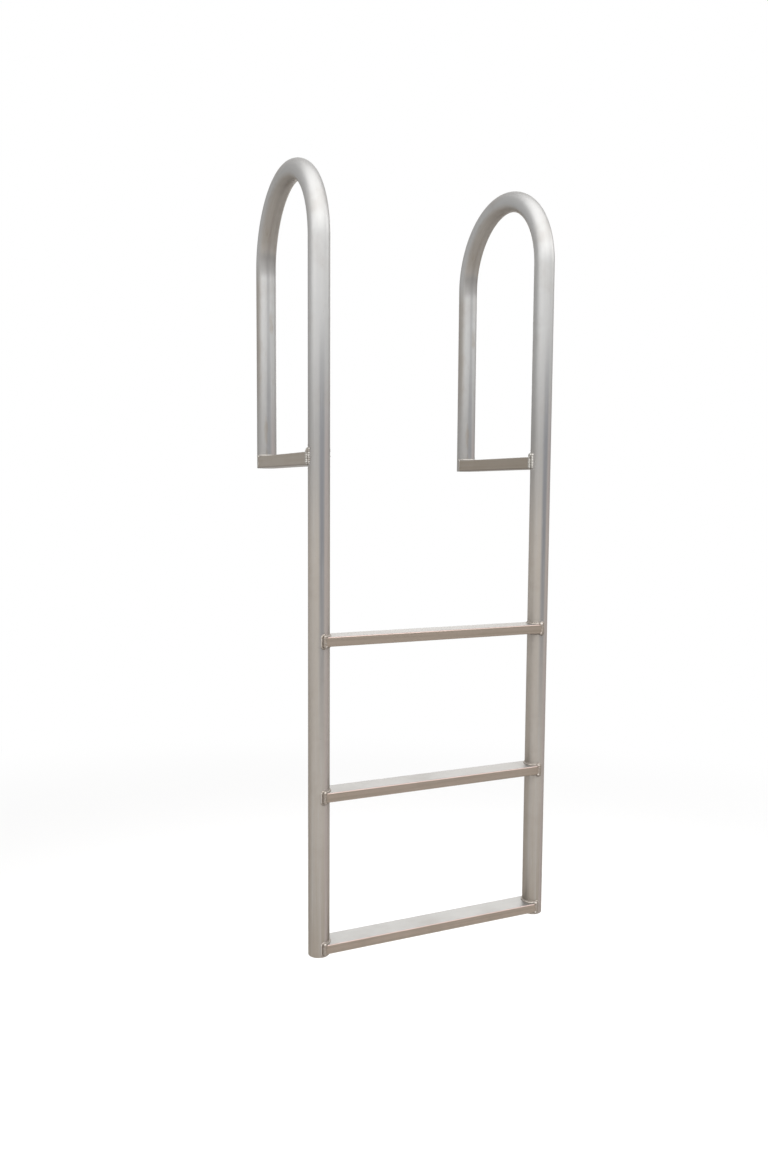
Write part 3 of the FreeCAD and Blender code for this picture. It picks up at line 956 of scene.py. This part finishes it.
def tread_loop(side, tread, depth, ring, rise, out, turn, beads):
    """A closed line round a tread's end; its corners lie at this depth off the rail's axis."""
    low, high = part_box(tread + "_tread")
    centre = (rail_x[side], FRONT_Y)
    inward = 1 if side == "left" else -1
    facing = 0 if side == "left" else 180
    top, under = high.z + rise, low.z - rise
    x = centre[0] + inward * out
    far, near = centre[1] + inward * depth, centre[1] - inward * depth
    points = arc(centre, ring, top, facing - ARC_HALF, facing + ARC_HALF, beads[0])
    points += rounded_corner(x, far, top, inward, 1, turn, beads[1])
    points += rounded_corner(x, far, under, inward, -1, turn, beads[1])[::-1]
    points += arc(centre, ring, under, facing + ARC_HALF, facing - ARC_HALF, beads[0])
    points += rounded_corner(x, near, under, inward, -1, turn, beads[1])
    points += rounded_corner(x, near, top, inward, 1, turn, beads[1])[::-1]
    return points


def tread_lines(side, tread):
    """The main bead round a tread's end, and the thin bead that ties it to the rail."""
    low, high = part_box(tread + "_tread")
    corner = (TUBE_RADIUS + (high.y - low.y) / 2) / 2
    return [tread_loop(side, tread, corner, **MAIN_LOOP),
            tread_loop(side, tread, TIE_DEPTH, **TIE_LOOP)]


print("a tread's main line has", len(tread_lines("left", "top")[0]), "points")

# %% [markdown]
# The bead on a tread is fine and even, since the tread's end fits closely round the tube. Copies
# of one bead would be quicker, but no two welds by hand are alike, so each end gets its own seed.

# %% Lay the beads round the treads
TREAD_BEAD = {"Unevenness": 0.12, "Round Ends": 0.0, "Droplet Spread": 0.013,
              "Droplet Turn": 0.2, "Ripple Pitch": 0.0024, "Ripple Depth": 0.11,
              "Droplets": 9, "Lowest": RAIL_END + 0.002}


def lay_tread_bead(side, tread, seed):
    """The bead round one end of a tread."""
    return lay_bead("%s_tread_%s" % (tread, side), tread_lines(side, tread), True,
                    (rail_x[side], FRONT_Y), {**TREAD_BEAD, "Seed": seed}, TREAD_WELD)


beads = [lay_tread_bead(side, tread, 10 * (k + 1) + n)
         for k, tread in enumerate(TREADS) for n, side in enumerate(SIDES)]
print("beads laid:", len(beads))

# %% [markdown]
# A bracket carries the whole ladder on its two ends. At the rail its weld is heavy: a bead up one
# side, a thick one over the top and down the other side, and a second pass on the tube's flanks.
# At the leg it is light. Each end could have code of its own, but with a row of numbers for each
# one function draws both. "sign" points from the tube's axis to the bracket, and "back" is how far
# that way the upright beads stand. "out" and "lift" move the top bead off the tube's wall and off
# the bracket's top, and "sweep" is half its arc in degrees. "flanks" gives the second passes on
# the left (-1) and the right (1): how far round the tube each lies, in degrees, and its radius.

# %% Where the brackets' beads lie
JOINTS = {
    "rail": {"sign": 1, "back": 0.0085, "bead": 0.0052, "top_bead": 0.0072, "out": -0.0006,
             "lift": 0.0030, "sweep": 78, "flanks": {-1: (-2, 0.0046), 1: (7, 0.0028)}},
    "leg": {"sign": -1, "back": 0.0075, "bead": 0.0029, "top_bead": 0.0036, "out": -0.0005,
            "lift": 0.0010, "sweep": 86, "flanks": {}},
}
FOOT_LIFT = 0.0005
SHOULDER_DROP = 0.001
FLANK_RISE = 0.008


def bracket_lines(side, end):
    """The line up one side of a bracket's end, over its top and down, and the flanks' own."""
    joint = JOINTS[end]
    low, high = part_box(side + "_bracket")
    centre = (rail_x[side], FRONT_Y if end == "rail" else -FRONT_Y)
    y = centre[1] + joint["sign"] * joint["back"]
    half_width = (high.x - low.x) / 2
    out = (half_width + math.sqrt(TUBE_RADIUS ** 2 - joint["back"] ** 2)) / 2
    foot, shoulder = low.z + FOOT_LIFT, high.z - SHOULDER_DROP
    middle = 90 * joint["sign"]
    turn = joint["sweep"] * joint["sign"]
    points = [(centre[0] - out, y, z, joint["bead"]) for z in (foot, shoulder)]
    points += arc(centre, TUBE_RADIUS + joint["out"], high.z + joint["lift"],
                  middle + turn, middle - turn, joint["bead"], joint["top_bead"])
    points += [(centre[0] + out, y, z, joint["bead"]) for z in (shoulder, foot)]
    lines = [points]
    for flank, (turned, bead) in joint["flanks"].items():
        angle, reach = math.radians(turned), TUBE_RADIUS - bead / 3
        lines.append([(centre[0] + flank * reach * math.cos(angle),
                       centre[1] + reach * math.sin(angle), z, bead)
                      for z in (foot, high.z / 2, high.z + FLANK_RISE)])
    return lines, centre


print("lines at a bracket's rail end:", len(bracket_lines("left", "rail")[0]))

# %% [markdown]
# The tree that laid the treads' beads lays these too, with coarser ripples and more spatter at
# the rail. These beads stop at the bracket's underside, where a tread's bead closes on itself, so
# their ends are rounded off.

# %% Lay the beads on the brackets
BRACKET_BEAD = {"Unevenness": 0.16, "Round Ends": 0.55, "Droplet Spread": 0.018,
                "Droplet Turn": 0.45}
END_BEADS = {
    "rail": {"Ripple Pitch": 0.0034, "Ripple Depth": 0.20, "Droplets": 34, "Lowest": -0.014},
    "leg": {"Ripple Pitch": 0.0024, "Ripple Depth": 0.11, "Droplets": 6, "Lowest": 0.004}}
RAIL_WELDS = {"left": SOOTY_WELD, "right": CLEAN_WELD}


def lay_bracket_bead(side, end, seed):
    """The bead that joins a bracket to its rail or its leg."""
    lines, centre = bracket_lines(side, end)
    sizes = {**BRACKET_BEAD, **END_BEADS[end], "Seed": seed}
    finish = RAIL_WELDS[side] if end == "rail" else LEG_WELD
    return lay_bead("%s_bracket_%s" % (side, end), lines, False, centre, sizes, finish)


beads += [lay_bracket_bead(side, end, 50 + 10 * k + n)
          for k, side in enumerate(SIDES) for n, end in enumerate(JOINTS)]
print("beads laid:", len(beads))

# %% [markdown]
# ## Floor, backdrop and light
# Bare metal shows whatever stands around it, so the studio is plain: a white world for the camera
# and for reflections, and a softer one for everything else. A white world alone would light the
# metal flat, so Light Path tells the two apart. The floor lies well below the ladder, which hangs
# from its dock, and fades into the white further off.

# %% The world and the floor
FLOOR_HEIGHT = -1.95
FLOOR_SIZE = 60.0
FLOOR_GREY = (0.86, 0.855, 0.85, 1.0)
FLOOR_FADE = (2.0, 6.0)
AMBIENT = 0.55


def shown_plainly(start):
    """1 where a ray comes straight from the camera, from a reflection or through glass."""
    path = start.tree.nodes.new("ShaderNodeLightPath")
    rays = [Wire(start.tree, path.outputs[name])
            for name in ("Is Camera Ray", "Is Glossy Ray", "Is Transmission Ray")]
    return rays[0].maths("MAXIMUM", rays[1]).maths("MAXIMUM", rays[2])


def light_world():
    """White where it is seen, and dimmer as a light on the ladder."""
    world = bpy.data.worlds.new("studio")
    world.use_nodes = True
    tree = world.node_tree
    background = next(n for n in tree.nodes if n.type == "BACKGROUND")
    seen = shown_plainly(Wire(tree))
    background.inputs["Color"].default_value = WHITE
    strength = seen * (1.0 - AMBIENT) + AMBIENT
    tree.links.new(strength.socket, background.inputs["Strength"])
    bpy.context.scene.world = world


def floor_material():
    """Pale and plain near the ladder, and as white as the backdrop further off."""
    material, tree, shader = new_material("studio_floor")
    place = object_place(Wire(tree))
    away = place.vector("LENGTH", output=1).band(*FLOOR_FADE)
    shader.inputs["Base Color"].default_value = FLOOR_GREY
    shader.inputs["Roughness"].default_value = 0.9
    glow = away.node("ShaderNodeEmission", None, {"Color": WHITE, "Strength": 1.0})
    both = tree.nodes.new("ShaderNodeMixShader")
    factor = away * shown_plainly(away)
    tree.links.new(factor.socket, both.inputs[0])
    tree.links.new(shader.outputs[0], both.inputs[1])
    tree.links.new(glow.socket, both.inputs[2])
    output = next(n for n in tree.nodes if n.type == "OUTPUT_MATERIAL")
    tree.links.new(both.outputs[0], output.inputs["Surface"])
    return material


def add_floor():
    """A level sheet well below the ladder."""
    mesh = bpy.data.meshes.new("studio_floor")
    half = FLOOR_SIZE / 2
    corners = [(x, y, FLOOR_HEIGHT) for x, y in
               ((-half, -half), (half, -half), (half, half), (-half, half))]
    mesh.from_pydata(corners, [], [(0, 1, 2, 3)])
    mesh.materials.append(floor_material())
    floor = bpy.data.objects.new("studio_floor", mesh)
    bpy.context.collection.objects.link(floor)
    floor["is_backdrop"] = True


light_world()
add_floor()
print("floor at %.2f m" % FLOOR_HEIGHT)

# %% [markdown]
# A round tube mirrors a narrow strip of everything round it, so small lamps would draw hard lines
# on it. Wide panels give the broad, soft highlights of a photographer's light tent. The largest
# one hangs above and in front, where the bends of the hoops catch it.

# %% The light panels
AIM = Vector(((rail_x["left"] + rail_x["right"]) / 2, 0.0, 0.1))
PANELS = {
    "ceiling_panel": {"place": (0.1, -1.5, 3.7), "wide": 8.0, "high": 6.4, "power": 320},
    "front_panel": {"place": (-0.4, -4.2, 2.6), "wide": 8.6, "high": 2.0, "power": 88},
    "left_panel": {"place": (-3.6, -0.9, 1.9), "wide": 2.6, "high": 1.4, "power": 38},
    "right_panel": {"place": (4.2, -1.0, 2.2), "wide": 2.4, "high": 1.4, "power": 45},
    "back_panel": {"place": (2.2, 3.4, 1.1), "wide": 3.0, "high": 1.6, "power": 42},
}


def add_panel(name, place, wide, high, power):
    """A soft panel that faces the ladder and is hidden from the camera."""
    lamp = bpy.data.lights.new(name, "AREA")
    lamp.shape = "RECTANGLE"
    lamp.size, lamp.size_y = wide, high
    lamp.energy = power
    panel = bpy.data.objects.new(name, lamp)
    panel.location = place
    panel.rotation_euler = (AIM - Vector(place)).to_track_quat("-Z", "Y").to_euler()
    panel.visible_camera = False
    bpy.context.collection.objects.link(panel)


for name, panel in PANELS.items():
    add_panel(name, **panel)
bpy.context.scene.view_settings.view_transform = "Standard"
print("panels:", ", ".join(PANELS))

# %% [markdown]
# ## The ladder's size
# The looks may not change the ladder's size. It could be measured by hand in the viewport, but
# two boxes can be printed after every run, so the imported model's box and the finished one's are
# printed side by side.

# %% Print both boxes and finish
visual_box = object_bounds()
boxes = {name: [list(corner) for corner in box]
         for name, box in (("cad", cad_box), ("visual", visual_box))}
for name, (low, high) in boxes.items():
    print(name, [round(v, 4) for v in low], [round(v, 4) for v in high])
